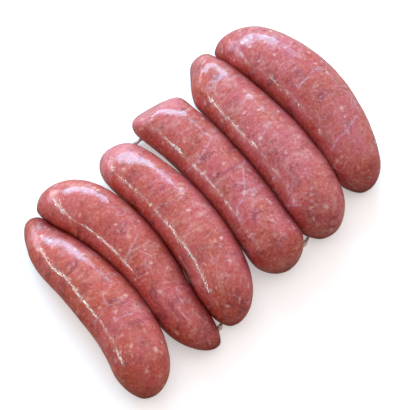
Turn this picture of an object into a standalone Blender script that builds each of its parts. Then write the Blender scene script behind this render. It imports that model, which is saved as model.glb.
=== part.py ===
"""A string of six raw sausage links, folded to and fro so that its links lie side by side.

Each link is a curved, tapering body of minced meat in its casing, resting on a narrow flat of
its underside. Between two links the casing is drawn out into a short twisted neck, which lies
low at the ends: heads are joined at the upper left, tails at the lower right.
X runs to the right, Y away from the viewer and Z up. The origin is the middle of the footprint.
"""
import math
from dataclasses import dataclass

import bmesh
import bpy
import numpy as np
from mathutils import Vector, noise

MM = 0.001
COLLECTION_NAME = "string_of_sausage_links"


@dataclass
class Link:
    """Driving sizes of one link: millimetres and degrees, turns counted anticlockwise."""

    middle: tuple  # place of the middle of its axis on the table
    heading: float  # way the axis runs there, from head to tail
    bend: float  # turn of the axis from head to tail
    sway: float  # S-shaped part of the curve
    head_hook: float  # extra turn at the head's tip
    tail_hook: float  # extra turn at the tail's tip
    length: float  # along the axis, tip to tip
    head_radius: float  # half-width a fifth of the way along
    middle_radius: float
    tail_radius: float  # half-width a fifth of the way from the tail
    head_cap: float  # length over which the head rounds off
    tail_cap: float
    head_slant: float = 0.0  # how far the head's face leans, per width
    meat: tuple = (0.455, 0.138, 0.141)  # linear colour


LINKS = (
    Link(middle=(-55.5, -49.0), heading=-53, bend=-37, sway=-13, head_hook=-28, tail_hook=-17,
         length=123, head_radius=13.0, middle_radius=16.0, tail_radius=15.8,
         head_cap=30, tail_cap=17, meat=(0.44, 0.132, 0.125)),
    Link(middle=(-35.5, -25.5), heading=-45, bend=-48, sway=18, head_hook=24, tail_hook=44,
         length=132, head_radius=16.0, middle_radius=15.2, tail_radius=12.6,
         head_cap=29, tail_cap=21.5, meat=(0.47, 0.145, 0.135)),
    Link(middle=(-10.0, -6.5), heading=-53.5, bend=-43, sway=-4, head_hook=-10, tail_hook=-12,
         length=126, head_radius=15.0, middle_radius=16.6, tail_radius=15.9,
         head_cap=16, tail_cap=23, meat=(0.45, 0.135, 0.13)),
    Link(middle=(11.0, 20.0), heading=-51, bend=-21, sway=5, head_hook=11, tail_hook=-2,
         length=125, head_radius=15.8, middle_radius=16.1, tail_radius=16.0,
         head_cap=15, tail_cap=14, head_slant=-0.57, meat=(0.46, 0.14, 0.14)),
    Link(middle=(34.0, 44.5), heading=-55.5, bend=-18, sway=-14, head_hook=-28, tail_hook=-15,
         length=132.5, head_radius=15.5, middle_radius=17.6, tail_radius=17.3,
         head_cap=28, tail_cap=18, meat=(0.455, 0.14, 0.14)),
    Link(middle=(59.5, 71.5), heading=-49, bend=-58, sway=5, head_hook=13, tail_hook=1,
         length=127.5, head_radius=17.0, middle_radius=18.8, tail_radius=16.0,
         head_cap=24.5, tail_cap=12.5, meat=(0.455, 0.14, 0.15)),
)

# Form shared by the links
LINK_SIDES = 26
LINK_RINGS = 30
SQUASH = 0.94  # height over width of a raw link lying down
SETTLE = 0.8 * MM  # depth of meat that the flat underside takes off
TIP_LIFT = 0.5  # height of a tip, as a share of the link's half-height there
HOOK_START = 0.3  # share of the half-length where a hook begins
HEAD_POWER = 1.9  # roundness of a head: 2 is an ellipse, more is blunter
TAIL_POWER = 2.1
SLANT_START = 0.6
LUMP = 0.03  # unevenness of the top, as a share of the half-width
LUMP_SPAN = 24 * MM
RADIUS_STATION = 0.6  # where head_radius and tail_radius are measured, in half-lengths
AXIS_SAMPLES = 241

# Contact between neighbours
CONTACT_GAP = 0.55 * MM
CONTACT_SOFTNESS = 0.3 * MM
SMALLEST = 0.1 * MM  # keeps the tips' radii above nothing

# Twisted necks between links
TWIST_SIDES = 10
TWIST_RINGS = 16
TWIST_WIDTH = 3.4 * MM
TWIST_THICKNESS = 2.4 * MM
TWIST_TURNS = 1.5
TWIST_END = 4.0 * MM  # length over which a neck narrows under a link
TWIST_HEIGHT = 2.0 * MM  # height of a neck's middle over the table
TWIST_TUCK = 8.0 * MM  # distance of a neck from the tips of the links that it joins
TWIST_GAP = 0.4 * MM  # clearance between a neck and the links that it joins
TWIST_STEP = 0.1 * MM
TWIST_BOW = 1.5 * MM  # outward bend of a neck's middle
TWIST_COLOUR = (0.47, 0.2, 0.17)

MEAT_ROUGHNESS = 0.32
CASING_ROUGHNESS = 0.4


def clear_scene():
    """Remove whatever the scene starts with."""
    for obj in list(bpy.data.objects):
        bpy.data.objects.remove(obj, do_unlink=True)


def make_collection(name):
    """Collection that holds the string's parts."""
    collection = bpy.data.collections.new(name)
    bpy.context.scene.collection.children.link(collection)
    return collection


def make_material(name, colour, roughness):
    """Plain glossy food surface."""
    material = bpy.data.materials.new(name)
    material.use_nodes = True
    shader = material.node_tree.nodes["Principled BSDF"]
    shader.inputs["Base Color"].default_value = (*colour, 1.0)
    shader.inputs["Roughness"].default_value = roughness
    shader.inputs["Metallic"].default_value = 0.0
    return material


def cap(distance, reach, power):
    """Share of the full girth at a distance from a rounded end."""
    rest = np.clip(1 - distance / reach, 0, 1)
    return (1 - rest ** power) ** (1 / power)


class LinkBody:
    """Axis, width and height of one link, from its head (-1) to its tail (+1)."""

    def __init__(self, link):
        self.link = link
        self.length = link.length * MM
        self.stations = np.linspace(-1, 1, AXIS_SAMPLES)
        self.way = self.axis_way(self.stations)
        self.axis = self.axis_points()
        full = self.radius(self.stations)
        self.half_width = full * self.rounding(self.stations)
        self.half_height = self.half_width * SQUASH
        rise = (full * SQUASH - self.half_height) * TIP_LIFT
        self.centre_height = self.half_height + rise - SETTLE
        near_head = np.clip((-self.stations - SLANT_START) / (1 - SLANT_START), 0, 1)
        self.lean = link.head_slant * near_head

    def axis_way(self, t):
        """Unit direction of the axis in plan."""
        link = self.link
        from_head = np.clip((-t - HOOK_START) / (1 - HOOK_START), 0, 1)
        from_tail = np.clip((t - HOOK_START) / (1 - HOOK_START), 0, 1)
        turn = link.heading + link.bend * t / 2 + link.sway * (t ** 2 - 1 / 3)
        turn = turn + link.head_hook * from_head ** 2 + link.tail_hook * from_tail ** 2
        angle = np.radians(turn)
        return np.stack([np.cos(angle), np.sin(angle)], axis=1)

    def axis_points(self):
        """Axis in plan, walked from the head and set on the link's middle."""
        step = self.length / (AXIS_SAMPLES - 1)
        strides = (self.way[1:] + self.way[:-1]) / 2 * step
        walked = np.concatenate([np.zeros((1, 2)), np.cumsum(strides, axis=0)])
        return walked - walked[AXIS_SAMPLES // 2] + np.array(self.link.middle) * MM

    def radius(self, t):
        """Half-width before the ends are rounded: a smooth curve through three radii."""
        link = self.link
        place = t / RADIUS_STATION
        head = link.head_radius * place * (place - 1) / 2
        middle = link.middle_radius * (1 - place ** 2)
        tail = link.tail_radius * place * (place + 1) / 2
        return (head + middle + tail) * MM

    def rounding(self, t):
        """Share of the half-width that the two rounded ends leave."""
        head_end = cap((1 + t) * self.length / 2, self.link.head_cap * MM, HEAD_POWER)
        tail_end = cap((1 - t) * self.length / 2, self.link.tail_cap * MM, TAIL_POWER)
        return head_end * tail_end

    def at(self, t, values):
        """Values of a sampled property at the places t."""
        if values.ndim == 1:
            return np.interp(t, self.stations, values)
        return np.stack([np.interp(t, self.stations, column) for column in values.T], axis=1)

    def skin(self, unit):
        """Points of the link's surface for points of a unit sphere, poles on the tips."""
        t = -unit[:, 2]
        around = np.arctan2(unit[:, 1], unit[:, 0])
        way = self.at(t, self.way)
        side = np.stack([way[:, 1], -way[:, 0]], axis=1)
        swell = 1 + LUMP * self.lumps(t, around) * np.sin(around) ** 2
        across = self.at(t, self.half_width) * np.cos(around)
        along = self.at(t, self.lean) * across
        plan = self.at(t, self.axis) + side * across[:, None] + way * along[:, None]
        rise = self.at(t, self.half_height) * np.sin(around) * swell
        height = self.at(t, self.centre_height) + rise
        return np.column_stack([plan, height])

    def lumps(self, t, around):
        """Slow unevenness over the surface, between -1 and 1."""
        seed_place = Vector((*self.link.middle, 0.0))
        values = []
        for step, angle in zip(t * self.length / 2, around):
            ring = Vector((math.cos(angle), math.sin(angle), 0.0)) * self.link.middle_radius * MM
            values.append(noise.noise((ring + Vector((0, 0, step))) / LUMP_SPAN + seed_place))
        return np.array(values)

    def crowding(self, points, room):
        """How much room points lack beside this link, and the way in plan that gives it."""
        side = np.stack([self.way[:, 1], -self.way[:, 0]], axis=1)
        plan = points[:, None, :2] - self.axis
        across = (plan * side).sum(axis=2)
        along = (plan * self.way).sum(axis=2) - self.lean * across
        rise = points[:, None, 2] - self.centre_height
        reach = np.hypot(across, rise)
        width = np.maximum(self.half_width, SMALLEST)
        height = np.maximum(self.half_height, SMALLEST)
        outside = reach * (1 - 1 / np.hypot(across / width, rise / height))
        between = np.abs(along) < self.length / AXIS_SAMPLES
        clearance = np.where((outside < 0) & between, outside,
                             np.hypot(np.maximum(outside, 0), along))
        rows = np.arange(len(points))
        near = clearance.argmin(axis=1)
        sideways = across[rows, near] / reach[rows, near] * np.abs(outside[rows, near])
        endways = np.where(between[rows, near], 0, along[rows, near])
        away = side[near] * sideways[:, None] + self.way[near] * endways[:, None]
        return room - clearance[rows, near], away / np.linalg.norm(away, axis=1)[:, None]


def unit_ball(sides, rings):
    """Mesh of a unit sphere, poles on Z."""
    ball = bmesh.new()
    bmesh.ops.create_uvsphere(ball, u_segments=sides, v_segments=rings, radius=1.0)
    return ball


def shape_ball(ball, shape):
    """Move every point of a unit sphere by a function of its place."""
    unit = np.array([vertex.co for vertex in ball.verts])
    points = shape(unit)
    for vertex, point in zip(ball.verts, points):
        vertex.co = point


def finish_object(ball, name, material, collection):
    """Turn a shaped sphere into a smooth object."""
    mesh = bpy.data.meshes.new(name)
    ball.to_mesh(mesh)
    ball.free()
    mesh.shade_smooth()
    mesh.materials.append(material)
    obj = bpy.data.objects.new(name, mesh)
    collection.objects.link(obj)
    return obj


def make_link(number, bodies, collection):
    """One link, pressed against the links beside it."""
    body = bodies[number]
    beside = [bodies[n] for n in (number - 1, number + 1) if 0 <= n < len(bodies)]

    def shape(unit):
        points = body.skin(unit)
        shift = np.zeros((len(points), 2))
        for neighbour in beside:
            lack, away = neighbour.crowding(points, CONTACT_GAP)
            press = CONTACT_SOFTNESS * np.logaddexp(0, lack / CONTACT_SOFTNESS)
            shift += away * press[:, None] / 2
        points[:, :2] += shift
        points[:, 2] = np.maximum(points[:, 2], 0)
        return points

    ball = unit_ball(LINK_SIDES, LINK_RINGS)
    shape_ball(ball, shape)
    name = f"link_{number + 1}"
    material = make_material(f"{name}_meat", body.link.meat, MEAT_ROUGHNESS)
    return finish_object(ball, name, material, collection)


def reach_under(body, middle, outward, width):
    """Distance from a link's axis at which a neck's end fits under the link's flank."""
    room = TWIST_GAP + TWIST_WIDTH / 2
    inset = width
    while inset > 0:
        shoulder = middle + outward * (inset + TWIST_END / 2)
        lack, away = body.crowding(np.array([[*shoulder, TWIST_HEIGHT]]), room)
        if lack[0] > 0:
            break
        inset -= TWIST_STEP
    return inset


def twist_ends(bodies, at_head):
    """Ends of a neck in plan, each under the inner flank of its link, and the neck's bow."""
    sign = -1 if at_head else 1
    places = [np.array([sign * (1 - 2 * TWIST_TUCK / body.length)]) for body in bodies]
    middles = [body.at(t, body.axis)[0] for body, t in zip(bodies, places)]
    widths = [body.at(t, body.half_width)[0] for body, t in zip(bodies, places)]
    ways = [sign * body.at(t, body.way)[0] for body, t in zip(bodies, places)]
    across = (middles[1] - middles[0]) / np.linalg.norm(middles[1] - middles[0])
    start = middles[0] + across * reach_under(bodies[0], middles[0], across, widths[0])
    end = middles[1] - across * reach_under(bodies[1], middles[1], -across, widths[1])
    return start, end, (ways[0] + ways[1]) / 2 * TWIST_BOW


def make_twist(number, bodies, at_head, collection):
    """Twisted casing between two links, low in the cleft between their ends."""
    start, end, bow = twist_ends(bodies, at_head)
    length = np.linalg.norm(end - start)
    along = np.array([*(end - start) / length, 0.0])
    side = np.array([along[1], -along[0], 0.0])
    up = np.array([0.0, 0.0, 1.0])

    def shape(unit):
        s = (1 - unit[:, 2]) / 2
        plan = start + (end - start) * s[:, None] + bow * (4 * s * (1 - s))[:, None]
        centre = np.column_stack([plan, np.full(len(s), TWIST_HEIGHT)])
        full = cap(np.minimum(s, 1 - s) * length, TWIST_END, 2)
        around = np.arctan2(unit[:, 1], unit[:, 0])
        turn = s * TWIST_TURNS * math.tau
        wide = np.cos(around) * TWIST_WIDTH / 2 * full
        thick = np.sin(around) * TWIST_THICKNESS / 2 * full
        sideways = wide * np.cos(turn) - thick * np.sin(turn)
        upwards = wide * np.sin(turn) + thick * np.cos(turn)
        return centre + side * sideways[:, None] + up * upwards[:, None]

    ball = unit_ball(TWIST_SIDES, TWIST_RINGS)
    shape_ball(ball, shape)
    name = f"twist_{number}_{number + 1}"
    material = make_material(f"{name}_casing", TWIST_COLOUR, CASING_ROUGHNESS)
    return finish_object(ball, name, material, collection)


def centre_on_footprint(objects):
    """Shift all meshes so that the footprint's middle is the origin."""
    points = np.array([vertex.co for obj in objects for vertex in obj.data.vertices])
    middle = (points.min(axis=0) + points.max(axis=0)) / 2
    for obj in objects:
        for vertex in obj.data.vertices:
            vertex.co.x -= middle[0]
            vertex.co.y -= middle[1]


def main():
    clear_scene()
    collection = make_collection(COLLECTION_NAME)
    bodies = [LinkBody(link) for link in LINKS]
    objects = [make_link(number, bodies, collection) for number in range(len(bodies))]
    for number in range(1, len(bodies)):
        at_head = number % 2 == 1
        objects.append(make_twist(number, bodies[number - 1:number + 1], at_head, collection))
    centre_on_footprint(objects)


main()
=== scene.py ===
import math

import bpy
import numpy as np
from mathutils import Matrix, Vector
from mathutils.bvhtree import BVHTree


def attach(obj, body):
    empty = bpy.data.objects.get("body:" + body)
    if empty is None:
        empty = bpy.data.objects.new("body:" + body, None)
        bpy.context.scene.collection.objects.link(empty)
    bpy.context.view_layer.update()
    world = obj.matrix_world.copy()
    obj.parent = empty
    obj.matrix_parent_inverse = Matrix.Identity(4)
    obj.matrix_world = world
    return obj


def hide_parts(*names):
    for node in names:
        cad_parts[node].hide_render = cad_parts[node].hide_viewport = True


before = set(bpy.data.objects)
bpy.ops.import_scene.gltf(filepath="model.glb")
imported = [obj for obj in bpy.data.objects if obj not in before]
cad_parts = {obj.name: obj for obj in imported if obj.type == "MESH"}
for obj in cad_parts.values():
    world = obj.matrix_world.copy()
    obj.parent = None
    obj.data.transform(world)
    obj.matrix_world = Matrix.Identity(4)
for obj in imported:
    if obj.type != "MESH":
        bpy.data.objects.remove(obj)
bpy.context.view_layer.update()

bpy.ops.object.select_all(action="DESELECT")
bpy.context.scene.view_settings.view_transform = "Standard"


# Tools used by every piece

def cleanCopy(nodeName, name):
    # a merged copy of a CAD node, selected and active
    obj = bpy.data.objects.new(name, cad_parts[nodeName].data.copy())
    bpy.context.scene.collection.objects.link(obj)
    bpy.ops.object.select_all(action="DESELECT")
    obj.select_set(True)
    bpy.context.view_layer.objects.active = obj
    bpy.ops.object.mode_set(mode="EDIT")
    bpy.ops.mesh.select_all(action="SELECT")
    bpy.ops.mesh.remove_doubles(threshold=1e-6)
    bpy.ops.object.mode_set(mode="OBJECT")
    return obj


def ringsOf(mesh):
    # rings of points, counted from the tip that lies further up the table
    beside = [[] for v in mesh.vertices]
    for edge in mesh.edges:
        first, second = edge.vertices
        beside[first].append(second)
        beside[second].append(first)
    most = max(len(near) for near in beside)
    tips = [n for n, near in enumerate(beside) if len(near) == most]
    start = max(tips, key=lambda n: mesh.vertices[n].co.y)
    rings = [[start]]
    seen = {start}
    while rings[-1]:
        found = []
        for n in rings[-1]:
            for near in beside[n]:
                if near not in seen:
                    seen.add(near)
                    found.append(near)
        rings.append(found)
    return rings[:-1]


def straightened(obj, offset):
    # stores where each point would be if the piece were straight: across, up and along
    mesh = obj.data
    rings = ringsOf(mesh)
    centres = []
    for ring in rings:
        total = Vector((0, 0, 0))
        for n in ring:
            total += mesh.vertices[n].co
        centres.append(total / len(ring))
    places = mesh.attributes.new("skinPlace", "FLOAT_VECTOR", "POINT")
    along = 0.0
    last = len(rings) - 1
    for number, ring in enumerate(rings):
        way = centres[min(number + 1, last)] - centres[max(number - 1, 0)]
        way.normalize()
        side = way.cross(Vector((0, 0, 1))).normalized()
        up = side.cross(way)
        if number:
            along += (centres[number] - centres[number - 1]).length
        for n in ring:
            out = mesh.vertices[n].co - centres[number]
            places.data[n].vector = (out.dot(side), out.dot(up), along + offset)
    return along


def makeQuads(obj, tipSides):
    # joins the triangles into quads, apart from the fans at the two tips
    mesh = obj.data
    counts = [0] * len(mesh.vertices)
    for edge in mesh.edges:
        counts[edge.vertices[0]] += 1
        counts[edge.vertices[1]] += 1
    for poly in mesh.polygons:
        poly.select = not any(counts[n] == tipSides for n in poly.vertices)
    for edge in mesh.edges:
        edge.select = False
    for vert in mesh.vertices:
        vert.select = False
    for poly in mesh.polygons:
        if poly.select:
            for n in poly.vertices:
                mesh.vertices[n].select = True
    bpy.ops.object.mode_set(mode="EDIT")
    bpy.ops.mesh.select_mode(type="FACE")
    bpy.ops.mesh.tris_convert_to_quads(face_threshold=math.pi, shape_threshold=math.pi)
    bpy.ops.object.mode_set(mode="OBJECT")


def addModifier(obj, name, kind, **values):
    # adds a modifier and applies it
    modifier = obj.modifiers.new(name, kind)
    for key, value in values.items():
        setattr(modifier, key, value)
    bpy.ops.object.modifier_apply(modifier=name)


def smoothed(obj, levels):
    addModifier(obj, "smoothed", "SUBSURF", levels=levels, render_levels=levels)


def pointsOf(mesh, what="co"):
    # the place of every point, or its normal, as an array
    values = np.empty(len(mesh.vertices) * 3)
    mesh.vertices.foreach_get(what, values)
    return values.reshape(-1, 3)


def movePoints(mesh, points):
    mesh.vertices.foreach_set("co", points.ravel())
    mesh.update()


def mark(mesh, name, amounts):
    # keeps one number at each point, for the material to read
    marks = mesh.attributes.new(name, "FLOAT", "POINT")
    marks.data.foreach_set("value", amounts.astype(np.float32))


def cloudTexture(name, size, depth):
    texture = bpy.data.textures.new(name, "CLOUDS")
    texture.noise_scale = size
    texture.noise_depth = depth
    texture.noise_basis = "IMPROVED_PERLIN"
    return texture


class Nodes:
    # short calls for building a material
    def __init__(self, name):
        self.material = bpy.data.materials.new(name)
        self.material.use_nodes = True
        self.tree = self.material.node_tree
        self.shader = self.tree.nodes["Principled BSDF"]
        self.column = 0

    def add(self, kind, inputs=(), **settings):
        made = self.tree.nodes.new("ShaderNode" + kind)
        self.column += 1
        made.location = (-200 * (self.column % 12) - 300, -260 * (self.column // 12))
        for key, value in settings.items():
            setattr(made, key, value)
        for key, value in dict(inputs).items():
            self.put(made.inputs[key], value)
        return made

    def put(self, socket, value):
        if isinstance(value, bpy.types.NodeSocket):
            self.tree.links.new(value, socket)
        else:
            socket.default_value = value

    def dress(self, values):
        # sets or links the shader's own sockets
        for key, value in values.items():
            self.put(self.shader.inputs[key], value)

    def marked(self, name, output="Fac"):
        return self.add("Attribute", attribute_name=name).outputs[output]

    def part(self, vector, axis):
        return self.add("SeparateXYZ", {"Vector": vector}).outputs[axis]

    def math(self, operation, first, second=0.0, clamp=False):
        made = self.add("Math", operation=operation, use_clamp=clamp)
        self.put(made.inputs[0], first)
        self.put(made.inputs[1], second)
        return made.outputs[0]

    def spread(self, value, low, high, toLow=0.0, toHigh=1.0):
        # soft step from low to high
        made = self.add("MapRange", interpolation_type="SMOOTHSTEP")
        for key, number in zip((0, 1, 2, 3, 4), (value, low, high, toLow, toHigh)):
            self.put(made.inputs[key], number)
        return made.outputs[0]

    def stretch(self, place, scale=(1, 1, 1), shift=(0, 0, 0)):
        made = self.add("Mapping", {"Vector": place, "Scale": scale, "Location": shift})
        return made.outputs[0]

    def noise(self, place, scale, detail=3.0, rough=0.5):
        made = self.add("TexNoise", {"Vector": place, "Scale": scale, "Detail": detail,
                                     "Roughness": rough})
        return made.outputs[0]

    def wander(self, place, along, scale, detail, reach):
        # the place moved about a little by a noise
        noise = self.add("TexNoise", {"Vector": along, "Scale": scale, "Detail": detail})
        made = self.add("VectorMath", operation="MULTIPLY_ADD")
        for number, value in enumerate((noise.outputs["Color"], (reach, reach, reach), place)):
            self.put(made.inputs[number], value)
        return made.outputs[0]

    def cells(self, place, scale, feature="F1"):
        return self.add("TexVoronoi", {"Vector": place, "Scale": scale}, feature=feature)

    def mix(self, share, first, second, blend="MIX"):
        made = self.add("Mix", data_type="RGBA", blend_type=blend)
        self.put(made.inputs["Factor"], share)
        self.put(made.inputs[6], first)
        self.put(made.inputs[7], second)
        return made.outputs[2]


# The meat's look: mottled raw mince seen through a wet skin

meat = {
    "pink": (0.63, 0.131, 0.141, 1),
    "orange": (0.59, 0.109, 0.076, 1),
    "brown": (0.36, 0.059, 0.033, 1),
    "bruise": (0.28, 0.043, 0.076, 1),
    "fat": (0.80, 0.42, 0.36, 1),
    "dot": (0.86, 0.50, 0.44, 1),
    # pale veins; on the drawn folds also a painted highlight along their ridges
    "paleVeinAndHighlight": (0.74, 0.47, 0.60, 1),
    "fleck": (0.80, 0.60, 0.68, 1),
    "head": (0.80, 0.42, 0.52, 1),          # painted sheen: the paler pink of the window light from behind on the middle links' upper tips
    # tints that the colour is multiplied by, among them painted light and shade
    "deeper": (0.86, 0.60, 0.62, 1),
    # painted light: warmer on the links to the left, cooler and darker on those to the right
    "paintedWarmLightLeft": (1.02, 0.97, 0.89, 1),
    "paintedCoolShadeRight": (0.93, 0.98, 1.05, 1),
    "paintedShade": (0.20, 0.030, 0.040, 1),     # painted shade beside the next link and along the table
    "groove": (1.24, 0.84, 0.78, 1),        # painted red bounce light in the shaded groove beside the link before
    # noises: scale, detail and roughness
    "patches": (55.0, 5.0, 0.62),
    "browner": (95.0, 5.0, 0.66),
    "bruises": (115.0, 4.0, 0.6),
    "fatty": (150.0, 4.0, 0.6),
    "grain": (650.0, 3.0, 0.6),
    "streaks": (420.0, 2.0, 0.5),
    "netPlaces": (48.0, 2.0, 0.5),
    "foldBreaks": (500.0, 2.0, 0.5),
    "smears": (170.0, 5.0, 0.7),
    "dryPatches": (42.0, 2.0, 0.5),
    "fineRelief": (800.0, 4.0, 0.6),
    "coarseRelief": (260.0, 3.0, 0.5),
    # edges: the values where a pattern starts and is full, and in some what it is worth there
    "patchEdge": (0.36, 0.64),
    "brownEdge": (0.50, 0.70, 0.0, 0.58),
    "bruiseEdge": (0.51, 0.74, 0.0, 0.72),
    "fatEdge": (0.51, 0.74, 0.0, 0.46),
    "paleEdge": (0.50, 0.68, 0.0, 0.42),
    "deepEdge": (0.50, 0.34),
    "netEdge": (0.022, 0.004),
    "netPlacesEdge": (0.52, 0.66, 0.0, 0.35),
    "foldBreaksEdge": (0.34, 0.58, 0.22, 0.80),
    # specks: how many, their rims, and which of them show and how much
    "darkSpecks": {"scale": 300.0, "rim": (0.40, 0.12), "chance": (900.0, 0.0),
                   "chosen": (0.56, 0.68, 0.0, 0.62)},
    "paleSpecks": {"scale": 260.0, "rim": (0.44, 0.10), "chance": (900.0, 0.0),
                   "chosen": (0.58, 0.70, 0.0, 0.85)},
    "scuffs": {"scale": 95.0, "rim": (0.14, 0.05), "chance": (700.0, 0.0),
               "chosen": (0.62, 0.66, 0.0, 0.55)},
    "darkShift": (0.4, 0.2, 0.6),           # keeps the dark specks off the pale ones
    "scuffShift": (0.3, 0.1, 0.0),
    "dryShift": (0.7, 0.2, 0.4),
    # stretches: more than 1 along an axis makes the pattern finer there
    "fibreStretch": (0.75, 0.75, 1.15),
    "streakStretch": (0.4, 0.4, 1.6),
    "scuffStretch": (1.0, 2.6, 1.0),
    "smearStretch": (1.0, 1.0, 1.4),
    "reliefStretch": (1.0, 1.0, 1.6),
    # wandering: a noise's scale and detail, and how far it moves the pattern
    "speckWander": (500.0, 2.0, 0.003),
    "veinWander": (60.0, 4.0, 0.02),
    "netScale": 42.0,
    "grainShare": 0.7,
    "patternStep": 0.5,         # how far apart the links' stretches of pattern start
    "tipMargin": 0.01,
    "tintReach": 0.09,          # from the middle to where the painted side-light tints are full
    "headReach": (0.033, 0.016),     # from the tip, with the margin
    "headShare": 0.24,
    "headsStart": (-0.085, -0.060),  # the middle links' upper tips with the painted sheen, from left to right
    "headsEnd": (0.010, -0.020),
    "subsurface": 0.22,
    "subsurfaceRadius": (1.0, 0.32, 0.22),
    "subsurfaceScale": 0.002,
    "roughness": 0.40,
    "specular": 0.12,
    "smearShare": 0.55,
    "flank": (0.006, 0.012),    # how far out on the flank that faces lower left
    "drained": (0.05, 0.12),    # how much drier that flank is, on the left and on the right
    "wetShift": 0.16,
    "filmEdge": (0.65, 0.51, 0.10, 0.80),
    "filmRoughness": 0.08,
    "filmIor": 1.5,
    "reliefShare": 0.5,
    "reliefDepth": 0.0003,
    "skinBump": 0.45,
    "wetBump": 0.40,
}


def specksIn(n, place, specks):
    # round specks at some of the cells
    cells = n.cells(place, specks["scale"])
    size = n.spread(cells.outputs["Distance"], *specks["rim"])
    few = n.spread(n.noise(cells.outputs["Position"], *specks["chance"]), *specks["chosen"])
    return n.math("MULTIPLY", size, few)


def mincePattern(n, own, skin):
    # broad patches of pink and orange, then browner ones
    patches = n.spread(n.noise(own, *meat["patches"]), *meat["patchEdge"])
    colour = n.mix(patches, meat["pink"], meat["orange"])
    brown = n.spread(n.noise(own, *meat["browner"]), *meat["brownEdge"])
    colour = n.mix(brown, colour, meat["brown"])
    # dark spots of lean meat and soft spots of fat, drawn out around the link
    fibres = n.stretch(skin, meat["fibreStretch"])
    bruises = n.spread(n.noise(fibres, *meat["bruises"]), *meat["bruiseEdge"])
    colour = n.mix(bruises, colour, meat["bruise"])
    fatty = n.spread(n.noise(fibres, *meat["fatty"]), *meat["fatEdge"])
    colour = n.mix(fatty, colour, meat["fat"])
    # round dark specks and pale specks of fat
    rough = n.wander(skin, own, *meat["speckWander"])
    dark = specksIn(n, n.stretch(rough, shift=meat["darkShift"]), meat["darkSpecks"])
    colour = n.mix(dark, colour, meat["bruise"])
    return n.mix(specksIn(n, rough, meat["paleSpecks"]), colour, meat["dot"])


def fineGrain(n, own, skin, colour):
    # fine grain and fine streaks across the link, paler or deeper red
    grain = n.math("MULTIPLY", n.noise(own, *meat["grain"]), meat["grainShare"])
    streaks = n.noise(n.stretch(skin, meat["streakStretch"]), *meat["streaks"])
    both = n.math("ADD", grain, n.math("MULTIPLY", streaks, 1 - meat["grainShare"]))
    colour = n.mix(n.spread(both, *meat["paleEdge"]), colour, meat["fat"])
    return n.mix(n.spread(both, *meat["deepEdge"]), colour, meat["deeper"], "MULTIPLY")


def veinsAndScuffs(n, own, colour):
    # thin pale veins: a faint net, and the folds drawn on each link, whose pale colour is partly the
    # skin's veins and partly a painted highlight along their ridges
    bent = n.wander(own, own, *meat["veinWander"])
    net = n.cells(bent, meat["netScale"], "DISTANCE_TO_EDGE").outputs["Distance"]
    faint = n.math("MULTIPLY", n.spread(net, *meat["netEdge"]),
                   n.spread(n.noise(own, *meat["netPlaces"]), *meat["netPlacesEdge"]))
    broken = n.spread(n.noise(own, *meat["foldBreaks"]), *meat["foldBreaksEdge"])
    drawn = n.math("MULTIPLY", n.marked("folds"), broken)
    colour = n.mix(n.math("MAXIMUM", faint, drawn), colour, meat["paleVeinAndHighlight"])
    # short pale flecks where the skin is scuffed
    scuffed = n.stretch(bent, meat["scuffStretch"], meat["scuffShift"])
    return n.mix(specksIn(n, scuffed, meat["scuffs"]), colour, meat["fleck"])


def sidesAndTips(n, skin, where, colour):
    # painted light: the links on the left are tinted warmer, the ones on the right cooler and
    # deeper, as the light falls on them
    side = n.spread(where, -meat["tintReach"], meat["tintReach"])
    tint = n.mix(side, meat["paintedWarmLightLeft"], meat["paintedCoolShadeRight"])
    colour = n.mix(1.0, colour, tint, "MULTIPLY")
    # painted sheen: paler pink at the upper tips of the middle links, where the light from behind
    # falls
    past = n.math("ADD", n.part(skin, "Z"), meat["tipMargin"])
    along = n.math("MODULO", past, meat["patternStep"])
    head = n.math("MULTIPLY", n.spread(along, *meat["headReach"]), meat["headShare"])
    middle = n.math("MULTIPLY", n.spread(where, *meat["headsStart"]),
                    n.spread(where, *meat["headsEnd"]))
    return n.mix(n.math("MULTIPLY", head, middle), colour, meat["head"])


def wetFilm(n, own, skin, where):
    # the wet film is thin or gone in places, which breaks up the reflections
    smears = n.noise(n.stretch(skin, meat["smearStretch"]), *meat["smears"])
    patches = n.noise(n.stretch(own, shift=meat["dryShift"]), *meat["dryPatches"])
    dryness = n.math("ADD", n.math("MULTIPLY", smears, meat["smearShare"]),
                     n.math("MULTIPLY", patches, 1 - meat["smearShare"]))
    drained = n.math("MULTIPLY", n.spread(n.part(skin, "X"), *meat["flank"]),
                     n.spread(where, -meat["tintReach"], meat["tintReach"], *meat["drained"]))
    wetter = n.math("MULTIPLY", n.marked("wetness"), meat["wetShift"])
    dryness = n.math("SUBTRACT", n.math("ADD", dryness, drained), wetter)
    return n.spread(dryness, *meat["filmEdge"])


def skinRelief(n, own, skin):
    # fine relief, felt by the skin and by the wet film over it
    fine = n.noise(n.stretch(skin, meat["reliefStretch"]), *meat["fineRelief"])
    coarse = n.noise(own, *meat["coarseRelief"])
    height = n.math("ADD", n.math("MULTIPLY", fine, meat["reliefShare"]), coarse)
    for socket, strength in (("Normal", meat["skinBump"]), ("Coat Normal", meat["wetBump"])):
        bump = n.add("Bump", {"Strength": strength, "Distance": meat["reliefDepth"],
                              "Height": height})
        n.put(n.shader.inputs[socket], bump.outputs[0])


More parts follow.
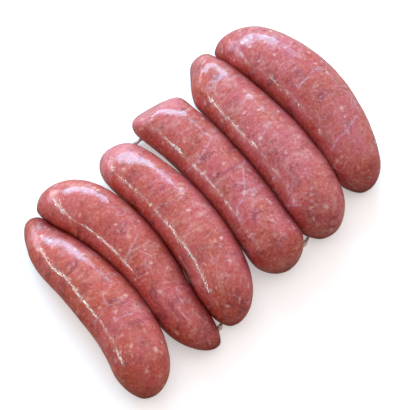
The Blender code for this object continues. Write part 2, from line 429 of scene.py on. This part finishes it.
def meatMaterial():
    n = Nodes("rawMeat")
    own = n.add("TexCoord").outputs["Object"]
    skin = n.marked("skinPlace", "Vector")
    where = n.part(own, "X")
    colour = fineGrain(n, own, skin, mincePattern(n, own, skin))
    colour = sidesAndTips(n, skin, where, veinsAndScuffs(n, own, colour))
    # painted shade: deep red beside the next link and along the table; painted red bounce light:
    # warm red in the groove beside the link before
    paintedShade = n.marked("paintedShade")
    paintedGrooveBounce = n.marked("paintedGrooveBounce")
    colour = n.mix(paintedShade, colour, meat["paintedShade"], "MULTIPLY")
    colour = n.mix(paintedGrooveBounce, colour, meat["groove"], "MULTIPLY")
    covered = n.math("MAXIMUM", paintedShade, paintedGrooveBounce)
    n.dress({
        "Base Color": colour,
        "Roughness": meat["roughness"],
        "Specular IOR Level": meat["specular"],
        "Subsurface Weight": meat["subsurface"],
        "Subsurface Radius": meat["subsurfaceRadius"],
        "Subsurface Scale": meat["subsurfaceScale"],
        "Coat Weight": n.math("SUBTRACT", wetFilm(n, own, skin, where), covered, True),
        "Coat Roughness": meat["filmRoughness"],
        "Coat IOR": meat["filmIor"],
    })
    skinRelief(n, own, skin)
    return n.material


# The six links

links = {
    "count": 6,
    "tipSides": 26,
    "coarser": 2,           # subdivision levels before the painted shade beside the links is measured
    "finer": 1,             # and after it
    "swell": 0.00042,       # what smoothing takes off the thickness, and the gap to close
    "lumpSize": 0.016,
    "lumpHeight": 0.0009,
    "grainSize": 0.0045,
    "grainHeight": 0.00012,
    "contactGap": 0.0005,   # the gap between links in the CAD
    "shadeFade": 0.0076,    # how far the groove's shade reaches beside the next link
    "paintedBounceFade": 0.0042,     # how far the painted red bounce light reaches beside the link before
    # the painted shade along the table fades out over this height
    "tableFade": 0.0100,
    "fadeReach": 2.2,       # how many of these lengths away the shade has gone
    "foldWidth": 0.00042,
    "foldHeight": 0.00016,
    "foldDepth": 0.008,     # how far below its start a fold may show
    "foldWave": 0.0004,
    "foldWaveLength": 0.0065,
}

# folds and veins in the skin of some links, drawn pale as part vein and part painted highlight:
# their runs over the table, in millimetres
folds = {
    1: [((-46.8, -75.8, 28.9), (-42.7, -73.5, 29.9), (-36.6, -71.0, 29.2))],
    2: [((-41.1, -40.2, 24.0), (-38.4, -34.7, 27.3), (-33.4, -23.7, 27.1)),
        ((-14.6, -54.9, 24.0), (-13.0, -59.8, 23.4), (-10.9, -62.3, 22.8))],
    4: [((7.2, 41.4, 21.9), (4.4, 31.0, 28.8), (-1.6, 19.7, 28.2), (-4.3, 16.7, 25.8),
         (-8.7, 15.6, 20.6)),
        ((22.2, 19.5, 25.0), (21.5, 9.0, 29.1), (21.9, 0.3, 29.8)),
        ((32.8, 4.4, 25.0), (27.3, 0.8, 28.9), (21.9, -2.0, 29.8), (20.8, -6.5, 29.2),
         (18.1, -10.3, 27.4)),
        ((18.1, -10.3, 27.4), (19.2, -13.1, 26.9), (17.6, -13.6, 25.7), (19.2, -16.5, 25.4),
         (20.2, -14.8, 26.9)),
        ((-33.0, 42.8, 22.9), (-30.2, 43.4, 25.2), (-27.9, 40.0, 24.6), (-29.1, 39.4, 23.3),
         (-25.2, 37.5, 24.5), (-23.0, 41.0, 27.3))],
    5: [((29.8, 29.6, 30.4), (33.1, 34.0, 32.3), (36.4, 38.8, 32.6)),
        ((44.1, -5.1, 21.4), (47.7, -7.7, 24.4), (52.3, -8.9, 26.8)),
        ((57.0, -6.6, 29.5), (61.3, -9.4, 27.9), (66.2, -8.5, 27.2))],
    6: [((49.0, 64.9, 32.7), (52.2, 60.6, 32.5), (56.5, 64.5, 34.5), (62.8, 71.8, 34.0)),
        ((69.2, 26.4, 23.6), (72.3, 29.3, 27.3), (77.2, 34.7, 30.0), (84.3, 45.3, 28.6))],
}

# soft pulls on the ends of some links: middle, move and reach in millimetres
pulls = {
    1: [((-91.0, -12.0, 12.0), (0.8, 2.2, 1.0), 11.0),
        ((-99.0, -24.0, 10.0), (0.8, 0.0, 0.0), 14.0)],
    3: [((-46.0, 26.0, 26.0), (0.0, 0.0, -1.4), 16.0)],
    4: [((-31.5, 53.0, 20.0), (2.3, -2.6, -0.5), 12.0),
        ((-13.5, 58.5, 22.0), (-0.2, 1.9, 0.0), 10.0),
        ((-22.0, 57.0, 26.0), (0.0, 0.0, -2.6), 17.0),
        ((38.0, -40.0, 12.0), (0.0, 0.7, 0.0), 12.0)],
    5: [((-8.0, 78.0, 15.0), (1.3, 0.0, 0.0), 15.0),
        ((3.0, 91.0, 13.0), (-0.4, 1.7, 0.4), 9.0),
        ((2.0, 82.0, 24.0), (0.0, 0.6, 1.9), 15.0),
        ((-6.0, 80.0, 16.0), (1.0, 0.0, 0.0), 9.0),
        ((-3.5, 59.0, 12.0), (-1.0, 0.0, 0.0), 9.0),
        ((62.0, -19.0, 10.0), (0.0, 0.7, 0.0), 12.0)],
    6: [((83.0, 10.0, 10.0), (-0.3, 1.3, 0.0), 14.0)],
}

# where the wet film lies thicker (1) or is wiped off (-1): middle, reach in millimetres, amount
wetPlaces = {
    1: [((-59.7, -64.5, 26.7), 9.0, 1.0), ((-46.0, -85.0, 26.0), 9.0, -0.8),
        ((-53.0, -47.0, 27.0), 14.0, -1.0)],
    3: [((-16.4, -23.6, 25.8), 9.0, 1.0)],
    4: [((-31.3, 40.5, 22.4), 7.0, -1.0), ((-9.2, 20.9, 24.7), 5.0, -1.0),
        ((9.7, -0.9, 26.3), 4.0, -1.0), ((23.9, -24.0, 25.2), 13.0, -1.0)],
    5: [((0.0, 64.5, 24.5), 6.0, -1.0), ((33.0, 18.4, 27.1), 7.0, -1.0),
        ((44.0, 3.3, 27.4), 8.0, -1.0), ((16.0, 64.0, 29.0), 10.0, -1.0)],
    6: [((30.6, 74.7, 26.8), 8.0, -1.0), ((52.0, 79.0, 34.0), 20.0, -1.0)],
}

rawMeat = meatMaterial()
lumpCloud = cloudTexture("lumpCloud", links["lumpSize"], 1)
grainCloud = cloudTexture("grainCloud", links["grainSize"], 2)


def softly(points, middle, reach):
    # 1 at the middle, falling to 0 at the reach, both in millimetres
    apart = np.linalg.norm(points - np.array(middle) / 1000, axis=1)
    return np.clip(1 - (apart / (reach / 1000)) ** 2, 0, 1)


def pullSkin(mesh, places):
    # moves the skin softly around each place, as a grab brush does
    points = pointsOf(mesh)
    for middle, move, reach in places:
        share = softly(points, middle, reach) ** 2
        points += share[:, None] * np.array(move) / 1000
    movePoints(mesh, points)


def nearness(mesh, number, fade):
    # 1 where a link touches the given one, fading out over a few millimetres
    amounts = np.zeros(len(mesh.vertices))
    if 1 <= number <= links["count"]:
        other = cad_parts["link_" + str(number)].data
        corners = [vert.co for vert in other.vertices]
        tree = BVHTree.FromPolygons(corners, [poly.vertices for poly in other.polygons])
        furthest = links["contactGap"] + links["fadeReach"] * fade
        for vert in mesh.vertices:
            distance = tree.find_nearest(vert.co, furthest)[3]
            if distance is not None:
                gap = max(distance - links["contactGap"], 0.0)
                amounts[vert.index] = math.exp(-(gap / fade) ** 2)
    return amounts


def markPaintedShade(mesh, number):
    # marks the painted shade in the groove beside the next link and along the table,
    # and then the painted red bounce light in the groove beside the link before
    paintedTableShade = np.exp(-(pointsOf(mesh)[:, 2] / links["tableFade"]) ** 2)
    mark(mesh, "paintedShade", np.maximum(nearness(mesh, number + 1, links["shadeFade"]), paintedTableShade))
    mark(mesh, "paintedGrooveBounce", nearness(mesh, number - 1, links["paintedBounceFade"]))


def drawFolds(mesh, runs):
    # raises the skin a little along each fold, and marks it for the material's pale veins and
    # painted ridge highlight
    points = pointsOf(mesh)
    normals = pointsOf(mesh, "normal")
    share = np.zeros(len(points))
    waves = np.sin(points[:, ::-1] * 2 * math.pi / links["foldWaveLength"])
    wavy = points + links["foldWave"] * waves
    for run in runs:
        corners = np.array(run) / 1000
        for start, end in zip(corners[:-1], corners[1:]):
            way = end - start
            part = np.clip((points - start) @ way / (way @ way), 0, 1)
            apart = np.linalg.norm((wavy - start - part[:, None] * way)[:, :2], axis=1)
            near = np.exp(-(apart / links["foldWidth"]) ** 2)
            above = points[:, 2] > start[2] - links["foldDepth"]
            share = np.maximum(share, np.where(above, near, 0))
    movePoints(mesh, points + normals * share[:, None] * links["foldHeight"])
    mark(mesh, "folds", share)


def paintWet(mesh, places):
    # marks where the wet film is thicker or wiped off
    points = pointsOf(mesh)
    wetness = np.zeros(len(points))
    for middle, reach, amount in places:
        wetness += amount * softly(points, middle, reach)
    mark(mesh, "wetness", np.clip(wetness, -1, 1))


def makeLink(number):
    node = "link_" + str(number)
    obj = cleanCopy(node, "sausage" + str(number))
    straightened(obj, number * meat["patternStep"])
    makeQuads(obj, links["tipSides"])
    smoothed(obj, links["coarser"])
    pullSkin(obj.data, pulls.get(number, ()))
    markPaintedShade(obj.data, number)
    smoothed(obj, links["finer"])
    addModifier(obj, "swell", "DISPLACE", strength=links["swell"], mid_level=0.0)
    addModifier(obj, "lumps", "DISPLACE", texture=lumpCloud, texture_coords="LOCAL",
                strength=links["lumpHeight"], mid_level=0.5)
    addModifier(obj, "grain", "DISPLACE", texture=grainCloud, texture_coords="LOCAL",
                strength=links["grainHeight"], mid_level=0.5)
    drawFolds(obj.data, folds.get(number, ()))
    paintWet(obj.data, wetPlaces.get(number, ()))
    for vert in obj.data.vertices:
        vert.co.z = max(vert.co.z, 0.0)     # nothing sinks into the table
    bpy.ops.object.shade_smooth()
    obj.data.materials.clear()
    obj.data.materials.append(rawMeat)
    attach(obj, "root")
    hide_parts(node)
    print("made", obj.name, len(obj.data.polygons))


for number in range(1, links["count"] + 1):
    makeLink(number)


# The twisted necks between the links

necks = {
    "pairs": ("1_2", "2_3", "3_4", "4_5", "5_6"),
    "tipSides": 10,
    "finer": 2,
    "pleats": 5,
    "turns": 3.0,
    "pleatDepth": 0.00022,
    "pink": (0.84, 0.60, 0.56, 1),
    "pale": (0.92, 0.76, 0.72, 1),
    "cloud": (600.0, 3.0, 0.5),     # scale, detail and roughness of the noise
    "cloudEdge": (0.35, 0.65),
    "roughness": 0.35,
    "subsurface": 0.4,
    "subsurfaceRadius": (1.0, 0.5, 0.4),
    "subsurfaceScale": 0.0015,
    "film": 0.8,
    "filmRoughness": 0.12,
}


def casingMaterial():
    n = Nodes("twistedCasing")
    cloudy = n.spread(n.noise(n.marked("skinPlace", "Vector"), *necks["cloud"]), *necks["cloudEdge"])
    n.dress({
        "Base Color": n.mix(cloudy, necks["pink"], necks["pale"]),
        "Roughness": necks["roughness"],
        "Subsurface Weight": necks["subsurface"],
        "Subsurface Radius": necks["subsurfaceRadius"],
        "Subsurface Scale": necks["subsurfaceScale"],
        "Coat Weight": necks["film"],
        "Coat Roughness": necks["filmRoughness"],
    })
    return n.material


twistedCasing = casingMaterial()


def pleat(mesh, length):
    # winds the pleats around the neck, deepest halfway along it
    places = mesh.attributes["skinPlace"].data
    normals = [vert.normal.copy() for vert in mesh.vertices]
    for vert, normal in zip(mesh.vertices, normals):
        across, up, along = places[vert.index].vector
        turn = math.atan2(up, across) + 2 * math.pi * necks["turns"] * along / length
        middle = max(math.sin(math.pi * along / length), 0.0)
        vert.co += normal * necks["pleatDepth"] * middle * math.cos(necks["pleats"] * turn)


def makeNeck(pair):
    node = "twist_" + pair
    obj = cleanCopy(node, "neck_" + pair)
    length = straightened(obj, 0.0)
    makeQuads(obj, necks["tipSides"])
    smoothed(obj, necks["finer"])
    pleat(obj.data, length)
    bpy.ops.object.shade_smooth()
    obj.data.materials.clear()
    obj.data.materials.append(twistedCasing)
    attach(obj, "root")
    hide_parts(node)
    print("made", obj.name, len(obj.data.polygons))


for pair in necks["pairs"]:
    makeNeck(pair)


# Floor, light and camera

studio = {
    "floorSize": 6.0,
    "floorDrop": 0.0003,                # how far it lies under the links, to part the faces
    "floorColour": (0.90, 0.90, 0.90, 1),
    "floorRoughness": 0.9,
    "floorSpecular": 0.1,
    "floorGlow": 0.38,
    "skyWay": (0.22, 0.64, 0.74),       # where the sky is brightest
    "skyDim": (1.0, 0.82, 0.68, 1),
    "skyBright": (0.96, 0.95, 1.0, 1),
    "skyStart": -0.1,                   # where it starts to brighten: 1 is the brightest place
    "skyStrength": (0.37, 1.18),
    # lights: azimuth and elevation, width and height, watts, colour
    "lampDistance": 0.9,
    "lampAim": (0, 0, 0.01),
    "window": (-17, 29, (0.92, 0.34), 12.4, (0.32, 0.71, 1.0)),
    "strip": (-98, 21, (0.9, 0.068), 5.0, (0.55, 0.96, 0.92)),
    "sideGlow": (-62, 8, (0.6, 0.3), 2.6, (0.80, 0.80, 1.0)),
    "lens": 138.4,
    "distance": 0.855,
    "elevation": 65.0,
    "aim": (0.0, -0.00523, 0.0133),
    "shift": (0.0037, 0.0146),
    "nearest": 0.01,
}


def aimedAt(place, target):
    # rotation that turns a light or camera's -Z to the target
    return (Vector(target) - Vector(place)).to_track_quat("-Z", "Y").to_euler()


def fromAngles(azimuth, elevation, distance):
    # azimuth 0 is beyond the heads, 90 to the right
    a, e = math.radians(azimuth), math.radians(elevation)
    return (distance * math.sin(a) * math.cos(e), distance * math.cos(a) * math.cos(e),
            distance * math.sin(e))


def areaLight(name):
    azimuth, elevation, size, power, colour = studio[name]
    place = fromAngles(azimuth, elevation, studio["lampDistance"])
    turn = aimedAt(place, studio["lampAim"])
    bpy.ops.object.light_add(type="AREA", location=place, rotation=turn)
    lamp = bpy.context.object
    lamp.name = name
    lamp.data.shape = "RECTANGLE"
    lamp.data.size, lamp.data.size_y = size
    lamp.data.energy = power
    lamp.data.color = colour
    return lamp


def makeFloor():
    bpy.ops.mesh.primitive_plane_add(size=studio["floorSize"], location=(0, 0, -studio["floorDrop"]))
    floor = bpy.context.object
    floor.name = "paleFloor"
    paint = Nodes("palePaint")
    paint.dress({
        "Base Color": studio["floorColour"],
        "Roughness": studio["floorRoughness"],
        "Specular IOR Level": studio["floorSpecular"],
        "Emission Color": (1, 1, 1, 1),
        "Emission Strength": studio["floorGlow"],
    })
    floor.data.materials.append(paint.material)
    floor.visible_glossy = False       # no white veil of reflected floor on the wet skin
    floor.visible_diffuse = False      # and less light from below


def makeSky():
    # warm and dim below, cool and bright toward one side
    world = bpy.data.worlds.new("studioWorld")
    bpy.context.scene.world = world
    world.use_nodes = True
    tree = world.node_tree
    sky = tree.nodes["Background"]
    way = tree.nodes.new("ShaderNodeTexCoord")
    toward = tree.nodes.new("ShaderNodeVectorMath")
    toward.operation = "DOT_PRODUCT"
    toward.inputs[1].default_value = studio["skyWay"]
    share = tree.nodes.new("ShaderNodeMapRange")
    share.inputs["From Min"].default_value = studio["skyStart"]
    colours = tree.nodes.new("ShaderNodeMix")
    colours.data_type = "RGBA"
    colours.inputs[6].default_value = studio["skyDim"]
    colours.inputs[7].default_value = studio["skyBright"]
    power = tree.nodes.new("ShaderNodeMapRange")
    weakest, strongest = studio["skyStrength"]
    power.inputs["To Min"].default_value = weakest
    power.inputs["To Max"].default_value = strongest
    tree.links.new(way.outputs["Generated"], toward.inputs[0])
    tree.links.new(toward.outputs["Value"], share.inputs["Value"])
    tree.links.new(share.outputs[0], colours.inputs["Factor"])
    tree.links.new(share.outputs[0], power.inputs["Value"])
    tree.links.new(colours.outputs[2], sky.inputs["Color"])
    tree.links.new(power.outputs[0], sky.inputs["Strength"])


def makeCamera():
    elevation = math.radians(studio["elevation"])
    back = Vector((0, -math.cos(elevation), math.sin(elevation)))
    place = Vector(studio["aim"]) + back * studio["distance"]
    bpy.ops.object.camera_add(location=place, rotation=aimedAt(place, studio["aim"]))
    camera = bpy.context.object
    camera.data.lens = studio["lens"]
    camera.data.shift_x, camera.data.shift_y = studio["shift"]
    camera.data.clip_start = studio["nearest"]
    bpy.context.scene.camera = camera


makeFloor()
makeSky()
areaLight("window")
strip = areaLight("strip")
strip.visible_diffuse = False      # it only draws the thin streaks on the wet skin
areaLight("sideGlow")
makeCamera()
print("made the studio")
